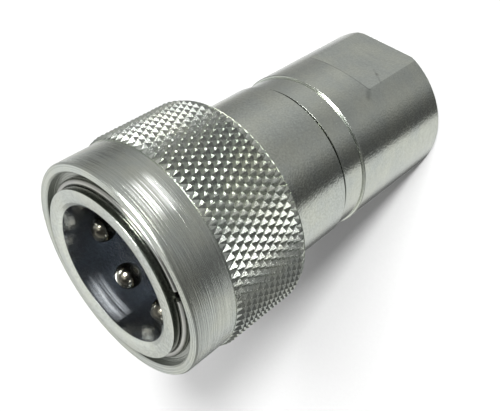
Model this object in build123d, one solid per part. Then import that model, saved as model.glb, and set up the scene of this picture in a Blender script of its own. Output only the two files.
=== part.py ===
from build123d import *
from math import cos, pi, radians, sin, sqrt, tan
import os

# Hydraulic quick coupler, female half, ball-locked, standing on its port end.
# The axis is +Z, the mouth is up, and the origin is the centre of the rear face.
# One wrench flat faces +X. Millimetres and degrees.

# Clearances
running_gap = 0.08
joint_gap = 0.05
seal_gap = 0.02
contact_gap = 0.03
ball_gap = 0.02
groove_gap = 0.12

# Radii of the socket, each from the one inside it
bore_radius = 11.8
bore_relief = 0.2
nose_wall = 2.74
nose_radius = bore_radius + nose_wall
neck_step = 0.46
neck_radius = nose_radius + neck_step
collar_step = 1.1
collar_radius = neck_radius + collar_step
mouth_chamfer_width = 0.65
mouth_radius = bore_radius + mouth_chamfer_width
seal_groove_depth = 2.1
seal_groove_radius = bore_radius + seal_groove_depth
throat_step = 3.6
throat_radius = bore_radius - throat_step
seat_width = 2.0
seat_radius = throat_radius + seat_width
socket_chamber_step = 0.6
socket_chamber_radius = seat_radius + socket_chamber_step

# Adaptor: rear cylinder with flats and port, marking band, spigot
rear_step = 0.05
rear_radius = neck_radius + rear_step
rear_length = 23.65
rear_chamfer = 0.5
band_inset = 0.38
band_radius = rear_radius - band_inset
band_length = 5.45
band_shoulder_chamfer = 0.2
flat_depth = 1.55
flats_across = 2 * (rear_radius - flat_depth)
flats_length = 15.9
flat_cutter_radius = 20.0
port_wall = 4.57
port_radius = rear_radius - port_wall
port_depth = 15.0
port_chamfer = 0.7
flow_bore_step = 1.78
flow_bore_radius = port_radius - flow_bore_step
flow_bore_length = 5.5
joint_wall = 2.0
joint_radius = neck_radius - joint_wall
joint_depth = 7.2
spigot_wall = 2.4
chamber_radius = joint_radius - spigot_wall
spigot_end_gap = 0.2
body_oring_cord_radius = 0.72
body_oring_shelf_length = 1.6
tip_chamfer = 0.3

# Socket body: lengths of neck, collar, nose, bore and seat
neck_length = 15.0
collar_length = 2.0
collar_chamfer = 0.25
nose_length = 21.05
mouth_chamfer_depth = 0.35
guide_land_length = 4.75
seal_groove_width = 3.5
seal_groove_setback = 1.1
throat_length = 0.9
lead_cone_length = 1.3
socket_chamber_length = 0.8

# Stop ring of round wire in the nose's groove
stop_wire_radius = 0.62
stop_ring_setback = 1.85
stop_groove_depth = 0.29
stop_groove_radius = nose_radius - stop_groove_depth
stop_groove_width = 1.36
stop_ring_gap_angle = 6.0
stop_ring_gap_direction = -65.0

# Locking balls
ball_count = 8
ball_radius = 2.38
ball_protrusion = 1.91
ball_setback = 7.55
first_ball_direction = 17.0
ball_hole_clearance = 0.07
ball_seat_half_angle = 9.7

# Locking sleeve, its radii from the spring room outwards
spring_room_gap = 0.1
spring_room_radius = collar_radius + spring_room_gap
mouth_step = 0.5
sleeve_mouth_radius = spring_room_radius + mouth_step
mouth_wall = 1.65
sleeve_front_radius = sleeve_mouth_radius + mouth_wall
knurl_stand = 0.65
knurl_crest_radius = sleeve_front_radius + knurl_stand
knurl_rim_inset = 0.45
knurl_rim_radius = knurl_crest_radius - knurl_rim_inset
rib_rise = 0.48
sleeve_length = 22.8
sleeve_setback = 0.85
sleeve_travel = 2.6
sleeve_front_chamfer = (0.2, 0.35)
sleeve_mouth_chamfer = 0.3
land_length = 1.9
sleeve_rear_chamfer = 0.3
smooth_ring_length = 7.75
knurl_depth = 0.55
knurl_rim_length = 0.2
knurl_ring_wall = 0.5
knurl_columns = 83
knurl_rows = 12

# Sleeve spring and poppet spring, plain-ended wire coils
sleeve_spring_wire_radius = 0.55
sleeve_spring_turns = 4.5
poppet_spring_wire_radius = 0.65
poppet_spring_turns = 4.5
poppet_spring_radius = 5.9

# Probe seal
probe_oring_cord_radius = 1.2
backup_ring_thickness = 1.0

# Poppet
poppet_travel = 5.0
poppet_tip_radius = 3.2
poppet_tip_reach = 0.4
poppet_tip_chamfer = 0.5
poppet_fairing_inset = 1.2
poppet_fairing_radius = throat_radius - poppet_fairing_inset
poppet_seat_gap = 0.15
poppet_seal_cord_radius = 0.9
poppet_seal_step = 0.1
poppet_seal_radius = throat_radius + poppet_seal_step
poppet_lip_length = 0.55
poppet_flange_step = 0.8
poppet_flange_radius = throat_radius + poppet_flange_step
poppet_flange_length = 1.45
poppet_boss_radius = 5.0
poppet_boss_length = 1.5
poppet_stem_radius = 2.5
poppet_stem_chamfer = 0.4

# Valve guide
guide_thickness = 2.3
guide_hub_radius = 4.6
guide_hub_length = 5.3
guide_window_inner_radius = 5.5
guide_window_step = 0.6
guide_window_outer_radius = flow_bore_radius + guide_window_step
guide_spokes = 3
guide_spoke_width = 2.6

# Heights above the rear face
joint_height = rear_length + band_length
guide_shoulder_height = port_depth + flow_bore_length
socket_shoulder_height = joint_height + joint_depth
spigot_tip_height = socket_shoulder_height - spigot_end_gap
seat_bottom_height = socket_shoulder_height + socket_chamber_length
seat_top_height = seat_bottom_height + (seat_radius - throat_radius)
throat_top_height = seat_top_height + throat_length
bore_bottom_height = throat_top_height + lead_cone_length
collar_bottom_height = joint_height + neck_length
collar_top_height = collar_bottom_height + collar_length
nose_height = collar_top_height + nose_length
sleeve_front_height = nose_height - sleeve_setback
sleeve_rear_height = sleeve_front_height - sleeve_length
stop_ring_height = nose_height - stop_ring_setback
ball_height = nose_height - ball_setback
seal_groove_bottom = bore_bottom_height + seal_groove_setback
seal_groove_top = seal_groove_bottom + seal_groove_width

# Radii that follow from the pieces inside each other
spigot_radius = joint_radius - joint_gap
relieved_bore_radius = bore_radius + bore_relief
stop_ring_radius = stop_groove_radius + joint_gap + stop_wire_radius
rib_radius = stop_ring_radius + rib_rise
ball_circle_radius = bore_radius - ball_protrusion + ball_radius
land_radius = nose_radius + running_gap
knurl_root_radius = knurl_crest_radius - knurl_depth
sleeve_spring_radius = (nose_radius + spring_room_radius) / 2


def turned(profile):
    """Turns a closed outline of (radius, height) points about the axis."""
    outline = Polyline(*profile, close=True)
    return revolve(Plane.XZ * make_face(outline), Axis.Z)


def ring_of(cord_radius, ring_radius, height):
    """A whole ring of round cord."""
    return Pos(0, 0, height) * Torus(ring_radius, cord_radius)


def outward(direction, height):
    """A place on the axis whose own Z looks outward in the given direction."""
    return Pos(0, 0, height) * Rot(0, 0, direction) * Rot(0, 90, 0)


def wire_coil(wire_radius, coil_radius, turns, bottom, top):
    """A plain-ended wire coil that fills the height between bottom and top."""
    start = bottom + contact_gap + wire_radius
    rise = top - contact_gap - wire_radius - start
    path = Helix(rise / turns, rise, coil_radius, center=(0, 0, start))
    section = Plane(origin=path @ 0, z_dir=path % 0) * Circle(wire_radius)
    return sweep(section, path=path, is_frenet=True)


def make_adaptor_body():
    """Rear half: port, flats, marking band and the spigot that screws into the socket."""
    shelf_height = spigot_tip_height - body_oring_shelf_length
    shelf_radius = spigot_radius - 2 * body_oring_cord_radius - seal_gap
    blank = turned([
        (port_radius, port_depth),
        (flow_bore_radius, port_depth),
        (flow_bore_radius, guide_shoulder_height),
        (chamber_radius, guide_shoulder_height),
        (chamber_radius, spigot_tip_height),
        (shelf_radius - tip_chamfer, spigot_tip_height),
        (shelf_radius, spigot_tip_height - tip_chamfer),
        (shelf_radius, shelf_height),
        (spigot_radius, shelf_height),
        (spigot_radius, joint_height),
        (band_radius, joint_height),
        (band_radius, rear_length),
        (rear_radius - band_shoulder_chamfer, rear_length),
        (rear_radius, rear_length - band_shoulder_chamfer),
        (rear_radius, rear_chamfer),
        (rear_radius - rear_chamfer, 0),
        (port_radius + port_chamfer, 0),
        (port_radius, port_chamfer),
    ])
    cutter_height = flats_length - flat_cutter_radius
    cutter = Cylinder(
        flat_cutter_radius, rear_radius, align=(Align.CENTER, Align.CENTER, Align.MIN)
    )
    for direction in (0, 180):
        side = outward(direction, cutter_height) * Pos(0, 0, flats_across / 2)
        blank -= side * cutter
    return blank


def ball_hole():
    """The hole that holds one ball: straight outside, tapered to a seat at the bore."""
    slope = tan(radians(ball_seat_half_angle))
    straight_radius = ball_radius + ball_hole_clearance
    radius_at_centre = (ball_radius + ball_gap) / cos(radians(ball_seat_half_angle))
    straight_from = ball_circle_radius + (straight_radius - radius_at_centre) / slope
    inner_end = ball_circle_radius - ball_radius
    inner_end_radius = radius_at_centre - (ball_circle_radius - inner_end) * slope
    outer_end = nose_radius + ball_radius
    taper = Pos(0, 0, inner_end) * Cone(
        inner_end_radius,
        straight_radius,
        straight_from - inner_end,
        align=(Align.CENTER, Align.CENTER, Align.MIN),
    )
    straight = Pos(0, 0, straight_from) * Cylinder(
        straight_radius, outer_end - straight_from, align=(Align.CENTER, Align.CENTER, Align.MIN)
    )
    return taper + straight


def ball_directions():
    """Direction of each ball about the axis."""
    return [first_ball_direction + i * 360 / ball_count for i in range(ball_count)]


def make_socket_body():
    """Front half: neck, spring collar, nose with ring groove and ball holes, bore and seat."""
    groove_top = stop_ring_height + stop_groove_width / 2
    groove_bottom = stop_ring_height - stop_groove_width / 2
    blank = turned([
        (joint_radius, joint_height),
        (neck_radius, joint_height),
        (neck_radius, collar_bottom_height),
        (collar_radius - collar_chamfer, collar_bottom_height),
        (collar_radius, collar_bottom_height + collar_chamfer),
        (collar_radius, collar_top_height - collar_chamfer),
        (collar_radius - collar_chamfer, collar_top_height),
        (nose_radius, collar_top_height),
        (nose_radius, groove_bottom),
        (stop_groove_radius, groove_bottom),
        (stop_groove_radius, groove_top),
        (nose_radius, groove_top),
        (nose_radius, nose_height),
        (mouth_radius, nose_height),
        (bore_radius, nose_height - mouth_chamfer_depth),
        (bore_radius, nose_height - guide_land_length),
        (relieved_bore_radius, nose_height - guide_land_length),
        (relieved_bore_radius, seal_groove_top),
        (seal_groove_radius, seal_groove_top),
        (seal_groove_radius, seal_groove_bottom),
        (relieved_bore_radius, seal_groove_bottom),
        (relieved_bore_radius, bore_bottom_height),
        (throat_radius, throat_top_height),
        (throat_radius, seat_top_height),
        (seat_radius, seat_bottom_height),
        (socket_chamber_radius, seat_bottom_height),
        (socket_chamber_radius, socket_shoulder_height),
        (joint_radius, socket_shoulder_height),
    ])
    hole = ball_hole()
    for direction in ball_directions():
        blank -= outward(direction, ball_height) * hole
    return blank


def make_ball(direction):
    """One locking ball in its seat."""
    return outward(direction, ball_height) * Pos(0, 0, ball_circle_radius) * Sphere(ball_radius)


def make_stop_ring():
    """Open ring of round wire."""
    turn = 360 - stop_ring_gap_angle
    start = stop_ring_gap_direction + stop_ring_gap_angle / 2
    section = Plane.XZ * Pos(stop_ring_radius, 0) * Circle(stop_wire_radius)
    ring = revolve(section, Axis.Z, revolution_arc=turn)
    return Pos(0, 0, stop_ring_height) * Rot(0, 0, start) * ring


def sleeve_inside():
    """Inside of the sleeve from the mouth down: rib, release groove, ramp, land, spring room.

    Each ball moves outward by its protrusion while the sleeve slides back by its travel.
    Seen from the sleeve a ball's centre runs on a straight line, and the ramp is parallel
    to that line, one ball radius and a gap further out.
    """
    ratio = ball_protrusion / sleeve_travel
    path_length = sqrt(ball_protrusion**2 + sleeve_travel**2)
    along, across = sleeve_travel / path_length, ball_protrusion / path_length
    reach = ball_radius + groove_gap

    # A point of the ramp's line, and from it where the line meets a radius.
    ramp_radius = ball_circle_radius + reach * along
    ramp_height = ball_height - reach * across

    def ramp_at(radius):
        return ramp_height + (radius - ramp_radius) / ratio

    # The rib's rear cone touches the released ball's own clearance circle at 45 degrees.
    released_radius = ball_circle_radius + ball_protrusion
    released_height = ball_height + sleeve_travel
    cone_radius = released_radius + reach * cos(pi / 4)
    cone_height = released_height + reach * sin(pi / 4)

    def rib_cone_at(radius):
        return cone_height - (radius - cone_radius)

    # The rib's front face rests on the stop ring's wire.
    wire_rise = rib_radius - stop_ring_radius
    wire_half_width = sqrt(stop_wire_radius**2 - wire_rise**2)
    rib_front = stop_ring_height - wire_half_width - contact_gap
    land_top = ramp_at(land_radius)
    land_bottom = land_top - land_length
    inside = [
        (sleeve_mouth_radius + sleeve_mouth_chamfer, sleeve_front_height),
        (sleeve_mouth_radius, sleeve_front_height - sleeve_mouth_chamfer),
        (sleeve_mouth_radius, rib_front),
        (rib_radius, rib_front),
        (rib_radius, rib_cone_at(rib_radius)),
        (sleeve_mouth_radius, rib_cone_at(sleeve_mouth_radius)),
        (sleeve_mouth_radius, ramp_at(sleeve_mouth_radius)),
        (land_radius, land_top),
        (land_radius, land_bottom),
        (spring_room_radius, land_bottom),
        (spring_room_radius, sleeve_rear_height + sleeve_rear_chamfer),
        (spring_room_radius + sleeve_rear_chamfer, sleeve_rear_height),
    ]
    return inside, land_bottom


def knurl_ring(bottom, top):
    """A ring whose outside is a field of four-sided points standing on their corners."""
    inner_radius = knurl_root_radius - knurl_ring_wall
    half_step = (top - bottom) / knurl_rows
    half_turn = pi / knurl_columns

    def corner(column, row):
        """A lattice corner: points and valleys take turns along and round the ring."""
        is_point = (column + row) % 2 == 0
        radius = knurl_crest_radius if is_point else knurl_root_radius
        angle = column * half_turn
        return (radius * cos(angle), radius * sin(angle), bottom + row * half_step)

    faces = []
    for row in range(knurl_rows):
        for column in range(2 * knurl_columns):
            near, far = corner(column, row), corner(column + 1, row)
            near_above, far_above = corner(column, row + 1), corner(column + 1, row + 1)
            if (column + row) % 2 == 0:
                halves = [(near, far, near_above), (far, far_above, near_above)]
            else:
                halves = [(near, far, far_above), (near, far_above, near_above)]
            faces += [Face(Wire.make_polygon(half, close=True)) for half in halves]
    for row in (0, knurl_rows):
        rim = Wire.make_polygon([corner(c, row) for c in range(2 * knurl_columns)], close=True)
        hole = Pos(0, 0, bottom + row * half_step) * Edge.make_circle(inner_radius)
        faces.append(Face(rim, [Wire([hole])]))
    tube = Pos(0, 0, bottom) * Cylinder(
        inner_radius, top - bottom, align=(Align.CENTER, Align.CENTER, Align.MIN)
    )
    faces += [f for f in tube.faces() if f.geom_type == GeomType.CYLINDER]
    return Solid(Shell(faces))


def make_locking_sleeve():
    """The pull-back sleeve, one turned and knurled piece."""
    inside, _ = sleeve_inside()
    chamfer_in, chamfer_down = sleeve_front_chamfer
    knurl_top = sleeve_front_height - smooth_ring_length
    knurl_bottom = sleeve_rear_height + knurl_rim_length
    under_knurl = knurl_root_radius - knurl_ring_wall
    outside = [
        (knurl_rim_radius - knurl_rim_length, sleeve_rear_height),
        (knurl_rim_radius, knurl_bottom),
        (under_knurl, knurl_bottom),
        (under_knurl, knurl_top),
        (sleeve_front_radius, knurl_top),
        (sleeve_front_radius, sleeve_front_height - chamfer_down),
        (sleeve_front_radius - chamfer_in, sleeve_front_height),
    ]
    return turned(inside + outside) + knurl_ring(knurl_bottom, knurl_top)


def make_sleeve_spring():
    """Coil between the sleeve's land and the socket's collar."""
    _, land_bottom = sleeve_inside()
    return wire_coil(
        sleeve_spring_wire_radius,
        sleeve_spring_radius,
        sleeve_spring_turns,
        collar_top_height,
        land_bottom,
    )


def make_probe_oring():
    """Seal for the mating probe, resting against the groove's lower side."""
    ring_radius = seal_groove_radius - seal_gap - probe_oring_cord_radius
    height = seal_groove_bottom + seal_gap + probe_oring_cord_radius
    return ring_of(probe_oring_cord_radius, ring_radius, height)


def make_probe_backup_ring():
    """Flat ring above the probe seal, at the groove's upper side."""
    top = seal_groove_top - seal_gap
    return turned([
        (relieved_bore_radius, top - backup_ring_thickness),
        (seal_groove_radius - seal_gap, top - backup_ring_thickness),
        (seal_groove_radius - seal_gap, top),
        (relieved_bore_radius, top),
    ])


def poppet_heights():
    """Heights of the poppet's seal, lip and flange, set by the seat's cone."""
    # The seat's cone runs at 45 degrees: radius + height is the same all along it.
    seat_sum = throat_radius + seat_top_height
    seal_reach = (poppet_seal_cord_radius + contact_gap) * sqrt(2)
    seal_height = seat_sum - seal_reach - poppet_seal_radius
    lip_bottom = seal_height + poppet_seal_cord_radius + seal_gap
    flange_top = seal_height - poppet_seal_cord_radius - seal_gap
    cone_sum = seat_sum - poppet_seat_gap * sqrt(2)
    return seal_height, lip_bottom, flange_top, cone_sum


def make_poppet():
    """Valve poppet: tip, lip, flange, spring boss and stem."""
    _, lip_bottom, flange_top, cone_sum = poppet_heights()
    tip_height = bore_bottom_height + poppet_tip_reach
    lip_radius = cone_sum - lip_bottom
    lip_top = lip_bottom + poppet_lip_length
    floor_radius = poppet_seal_radius - poppet_seal_cord_radius - seal_gap
    flange_bottom = flange_top - poppet_flange_length
    boss_bottom = flange_bottom - poppet_boss_length
    stem_bottom = port_depth + poppet_travel
    return turned([
        (0, tip_height),
        (poppet_tip_radius - poppet_tip_chamfer, tip_height),
        (poppet_tip_radius, tip_height - poppet_tip_chamfer),
        (poppet_tip_radius, throat_top_height),
        (poppet_fairing_radius, cone_sum - poppet_fairing_radius),
        (cone_sum - lip_top, lip_top),
        (lip_radius, lip_bottom),
        (floor_radius, lip_bottom),
        (floor_radius, flange_top),
        (poppet_flange_radius, flange_top),
        (poppet_flange_radius, flange_bottom),
        (poppet_boss_radius, flange_bottom),
        (poppet_boss_radius, boss_bottom),
        (poppet_stem_radius, boss_bottom),
        (poppet_stem_radius, stem_bottom + poppet_stem_chamfer),
        (poppet_stem_radius - poppet_stem_chamfer, stem_bottom),
        (0, stem_bottom),
    ])


def make_poppet_seal():
    """Seal ring on the poppet's cone."""
    seal_height, _, _, _ = poppet_heights()
    return ring_of(poppet_seal_cord_radius, poppet_seal_radius, seal_height)


def make_poppet_spring():
    """Coil between the valve guide and the poppet's flange."""
    _, _, flange_top, _ = poppet_heights()
    return wire_coil(
        poppet_spring_wire_radius,
        poppet_spring_radius,
        poppet_spring_turns,
        guide_shoulder_height + guide_thickness,
        flange_top - poppet_flange_length,
    )


def make_valve_guide():
    """Spider with a long hub, seated on the adaptor's inner shoulder."""
    rim_radius = chamber_radius - running_gap
    hub_bore_radius = poppet_stem_radius + running_gap
    disc_top = guide_shoulder_height + guide_thickness
    hub_top = guide_shoulder_height + guide_hub_length
    spider = turned([
        (hub_bore_radius, guide_shoulder_height),
        (rim_radius, guide_shoulder_height),
        (rim_radius, disc_top),
        (guide_hub_radius, disc_top),
        (guide_hub_radius, hub_top),
        (hub_bore_radius, hub_top),
    ])
    windows = turned([
        (guide_window_inner_radius, guide_shoulder_height),
        (guide_window_outer_radius, guide_shoulder_height),
        (guide_window_outer_radius, disc_top),
        (guide_window_inner_radius, disc_top),
    ])
    spoke = Pos(rim_radius / 2, 0, guide_shoulder_height + guide_thickness / 2) * Box(
        rim_radius, guide_spoke_width, guide_thickness
    )
    for i in range(guide_spokes):
        windows -= Rot(0, 0, i * 360 / guide_spokes) * spoke
    return spider - windows


def make_body_oring():
    """Seal between the spigot's tip and the socket."""
    height = spigot_tip_height - body_oring_cord_radius
    ring_radius = spigot_radius - body_oring_cord_radius
    return ring_of(body_oring_cord_radius, ring_radius, height)


pieces = {
    "adaptor_body": make_adaptor_body(),
    "socket_body": make_socket_body(),
    "body_oring": make_body_oring(),
    "locking_sleeve": make_locking_sleeve(),
    "sleeve_spring": make_sleeve_spring(),
    "sleeve_stop_ring": make_stop_ring(),
    "probe_oring": make_probe_oring(),
    "probe_backup_ring": make_probe_backup_ring(),
    "poppet": make_poppet(),
    "poppet_seal": make_poppet_seal(),
    "poppet_spring": make_poppet_spring(),
    "valve_guide": make_valve_guide(),
}
for number, direction in enumerate(ball_directions(), start=1):
    pieces[f"ball_{number}"] = make_ball(direction)

os.makedirs("parts", exist_ok=True)
for node, solid in pieces.items():
    export_step(solid, f"parts/{node}.step")
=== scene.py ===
"""Looks of the ball-locked hydraulic quick coupler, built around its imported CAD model.

The row frame is in metres: the axis is +Z with the mouth up, the origin is the centre of the
rear face, and one wrench flat faces +X. Sizes in the classes below are in millimetres.
"""

from __future__ import annotations

import logging
import math
from dataclasses import dataclass, field
from enum import Enum

import bmesh
import bpy
from mathutils import Matrix, Vector, noise

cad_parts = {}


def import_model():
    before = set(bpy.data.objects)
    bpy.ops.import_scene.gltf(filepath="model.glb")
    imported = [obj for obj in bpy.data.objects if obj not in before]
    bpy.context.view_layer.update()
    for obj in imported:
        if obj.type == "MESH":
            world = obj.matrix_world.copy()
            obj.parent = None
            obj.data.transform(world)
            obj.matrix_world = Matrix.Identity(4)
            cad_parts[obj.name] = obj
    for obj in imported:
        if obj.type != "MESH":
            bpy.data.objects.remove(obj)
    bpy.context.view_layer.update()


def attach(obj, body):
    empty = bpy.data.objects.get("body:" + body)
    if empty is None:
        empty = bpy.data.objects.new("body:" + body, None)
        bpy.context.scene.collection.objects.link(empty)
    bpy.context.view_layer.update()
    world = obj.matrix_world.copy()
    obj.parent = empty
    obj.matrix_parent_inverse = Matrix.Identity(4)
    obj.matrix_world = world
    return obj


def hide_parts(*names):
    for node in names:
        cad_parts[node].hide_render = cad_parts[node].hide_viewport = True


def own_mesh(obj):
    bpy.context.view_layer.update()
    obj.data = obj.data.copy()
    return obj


LOG = logging.getLogger("coupler")
MM = 0.001
FULL_TURN = 2 * math.pi
QUARTER_TURN = math.pi / 2
MERGE_METRES = 1e-7
ROUND_SHARP_DEGREES = 40.0
NOISE_MIDDLE = 0.5
Span = tuple[float, float]
Profile = list[Span]
Triple = tuple[float, float, float]
Colour = Triple
Shape = bmesh.types.BMesh


class Slot(Enum):
    """Material slots of the record."""

    ZINC = "zinc_steel"
    BALL = "ball_steel"
    WIRE = "spring_wire"
    TURNED = "turned_steel"
    RUBBER = "seal_rubber"
    PLASTIC = "backup_plastic"


class Body(Enum):
    """Moving bodies of the coupler."""

    COUPLER = "coupler_body"
    STOP_RING = "stop_ring"
    SLEEVE = "sleeve"
    POPPET = "valve_poppet"


class Signal:
    """A shader socket that takes part in sums and products as a number does."""

    def __init__(self, shader: Shader, socket: bpy.types.NodeSocket | None) -> None:
        """Keeps the socket and the shader that it belongs to."""
        self.shader = shader
        self.socket = socket

    def _with(self, operation: str, first: Signal | float, second: Signal | float) -> Signal:
        """Adds one Math node of two values."""
        return self.shader.node("ShaderNodeMath", {"operation": operation}, {0: first, 1: second})

    def __add__(self, other: Signal | float) -> Signal:
        """self + other"""
        return self._with("ADD", self, other)

    __radd__ = __add__

    def __sub__(self, other: Signal | float) -> Signal:
        """self - other"""
        return self._with("SUBTRACT", self, other)

    def __rsub__(self, other: Signal | float) -> Signal:
        """other - self"""
        return self._with("SUBTRACT", other, self)

    def __mul__(self, other: Signal | float) -> Signal:
        """self * other"""
        return self._with("MULTIPLY", self, other)

    __rmul__ = __mul__

    def __truediv__(self, other: Signal | float) -> Signal:
        """self / other"""
        return self._with("DIVIDE", self, other)

    def __pow__(self, other: Signal | float) -> Signal:
        """self ** other"""
        return self._with("POWER", self, other)

    def least(self, other: Signal | float) -> Signal:
        """The smaller of two values."""
        return self._with("MINIMUM", self, other)

    def most(self, other: Signal | float) -> Signal:
        """The larger of two values."""
        return self._with("MAXIMUM", self, other)

    def angle_to(self, across: Signal | float) -> Signal:
        """The angle whose tangent is self / across, over the whole turn."""
        return self._with("ARCTAN2", self, across)

    def rise(self, low: float, high: float, start: float = 0.0, end: float = 1.0) -> Signal:
        """Goes smoothly from start to end while self goes from low to high.

        Args:
            low: Value of self where the rise begins.
            high: Value of self where the rise ends.
            start: Result at and below low.
            end: Result at and above high.

        Returns:
            The risen signal.
        """
        settings = {"interpolation_type": "SMOOTHSTEP"}
        return self.shader.node(
            "ShaderNodeMapRange", settings, {0: self, 1: low, 2: high, 3: start, 4: end}
        )

    def within(self, low: float, high: float, soft: float) -> Signal:
        """One from low to high, falling off smoothly outside them over soft."""
        return self.rise(low - soft, low) * self.rise(high, high + soft, 1.0, 0.0)

    def swing(self, share: float) -> Signal:
        """How far a soft noise lies from its middle, times a share."""
        return (self - NOISE_MIDDLE) * share


Parts = tuple[Signal, Signal, Signal]


class Shader:
    """A node tree and the few ways in which it grows."""

    def __init__(self, tree: bpy.types.NodeTree) -> None:
        """Takes over a tree and empties it."""
        self.tree = tree
        tree.nodes.clear()

    def node(
        self,
        kind: str,
        settings: dict[str, object] | None = None,
        inputs: dict[int | str, object] | None = None,
        output: int | str = 0,
    ) -> Signal:
        """Adds a node, sets its choices first and then its sockets.

        Args:
            kind: Blender's type of node.
            settings: Properties of the node, and "stops" for a colour ramp.
            inputs: Value or Signal for each named or numbered socket.
            output: Which output the result stands for.

        Returns:
            The chosen output.
        """
        made = self.tree.nodes.new(kind)
        for key, value in (settings or {}).items():
            if key == "stops":
                self._set_stops(made.color_ramp, value)
            else:
                setattr(made, key, value)
        for key, value in (inputs or {}).items():
            if isinstance(value, Signal):
                self.tree.links.new(value.socket, made.inputs[key])
            else:
                made.inputs[key].default_value = value
        outputs = made.outputs
        return Signal(self, outputs[output]) if len(outputs) else Signal(self, None)

    @staticmethod
    def _set_stops(ramp: bpy.types.ColorRamp, stops: list[Span]) -> None:
        """Gives a ramp its grey stops.

        Args:
            ramp: The ramp.
            stops: Position and grey value of each stop.
        """
        elements = ramp.elements
        while len(elements) < len(stops):
            elements.new(1.0)
        for element, (position, value) in zip(elements, stops):
            element.position = position
            element.color = (value, value, value, 1.0)

    def place(self) -> Signal:
        """Object coordinates, which are the row frame's."""
        return self.node("ShaderNodeTexCoord", output="Object")

    def split(self, vector: Signal) -> Parts:
        """A vector's three parts."""
        parts = self.node("ShaderNodeSeparateXYZ", None, {0: vector}).socket.node.outputs
        return Signal(self, parts[0]), Signal(self, parts[1]), Signal(self, parts[2])

    def join(self, x: Signal | float, y: Signal | float, z: Signal | float) -> Signal:
        """A vector of three parts."""
        return self.node("ShaderNodeCombineXYZ", None, {0: x, 1: y, 2: z})

    def grey(self, value: Signal) -> Signal:
        """A colour with the same value in all three parts."""
        return self.join(value, value, value)

    def cloud(
        self, vector: Signal, scale: float, detail: float = 2.0, rough: float = 0.5
    ) -> Signal:
        """Soft noise around 0.5 at a scale per metre."""
        return self.node(
            "ShaderNodeTexNoise",
            {"noise_dimensions": "3D"},
            {"Vector": vector, "Scale": scale, "Detail": detail, "Roughness": rough},
        )

    def mix(self, share: Signal | float, first: object, second: object) -> Signal:
        """A colour between two colours."""
        return self.node(
            "ShaderNodeMix", {"data_type": "RGBA"}, {0: share, 6: first, 7: second}, output=2
        )

    def shaded(self, colour: Signal, shade: Signal) -> Signal:
        """A colour made lighter or darker by a factor."""
        settings = {"data_type": "RGBA", "blend_type": "MULTIPLY"}
        return self.node("ShaderNodeMix", settings, {0: 1.0, 6: colour, 7: self.grey(shade)}, 2)

    def relief(self, height: Signal) -> Signal:
        """A surface normal bent by a height in millimetres."""
        inputs = {"Strength": 1.0, "Distance": MM, "Height": height}
        return self.node("ShaderNodeBump", None, inputs)

    def surface(self, inputs: dict[int | str, object]) -> None:
        """Ends a material's tree in one surface with these inputs."""
        surface = self.node("ShaderNodeBsdfPrincipled", None, inputs)
        self.node("ShaderNodeOutputMaterial", None, {"Surface": surface})


def opaque(colour: Colour, share: float = 1.0) -> tuple[float, float, float, float]:
    """A colour with full alpha, made lighter or darker by a share."""
    return (colour[0] * share, colour[1] * share, colour[2] * share, 1.0)


def sine(angle: float) -> float:
    """Sine of an angle in degrees."""
    return math.sin(math.radians(angle))


def bearing(x: Signal, y: Signal) -> Signal:
    """Direction about the axis in degrees, from +X towards -Y."""
    return (0 - y).angle_to(x) * math.degrees(1.0)


def blank_material(name: str) -> tuple[bpy.types.Material, Shader]:
    """Makes a material with nothing in it yet.

    Args:
        name: Name of the material.

    Returns:
        The material and its empty shader.
    """
    material = bpy.data.materials.new(name)
    material.use_nodes = True
    return material, Shader(material.node_tree)


@dataclass(frozen=True)
class Zone:
    """A ring-shaped part of a turned surface with its own colour, painted shade or painted
    highlight.

    Sizes are in millimetres and directions are angles from +X towards -Y, in degrees.
    """

    colour: Colour
    radii: Span
    heights: Span
    directions: Span | None = None
    share: float = 1.0
    soft: float = 0.15
    soft_turn: float = 9.0
    streaks: Span | None = None
    dullness: float = 0.0

    def mask(self, place: Parts, radius: Signal, marks: Signal) -> Signal:
        """How much of the zone's shade a place has.

        Args:
            place: The place's three coordinates in metres.
            radius: Its distance from the axis in metres.
            marks: Turning marks, around 0.5.

        Returns:
            The mask, from 0 to 1.
        """
        x, y, z = place
        mask = (radius / MM).within(*self.radii, self.soft) * self.share
        mask = mask * (z / MM).within(*self.heights, self.soft)
        if self.directions:
            mask = mask * bearing(x, y).within(*self.directions, self.soft_turn)
        if self.streaks:
            mask = mask * marks.rise(*self.streaks)
        return mask


@dataclass(frozen=True)
class Nick:
    """A short dark dent or scratch between two places, in millimetres."""

    start: Triple
    end: Triple
    width: float
    shade: float

    def mask(self, place: Parts) -> Signal:
        """How deep in the nick a place lies.

        Args:
            place: The place's three coordinates in millimetres.

        Returns:
            The mask, from 0 to 1.
        """
        run = [last - first for first, last in zip(self.start, self.end)]
        away = [part - first for part, first in zip(place, self.start)]
        share = sum(part * step for part, step in zip(away, run))
        share = (share / sum(step * step for step in run)).most(0.0).least(1.0)
        gaps = [part - share * step for part, step in zip(away, run)]
        gap = sum(part * part for part in gaps) ** 0.5
        return gap.rise(0.0, self.width, 1.0, 0.0)


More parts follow.
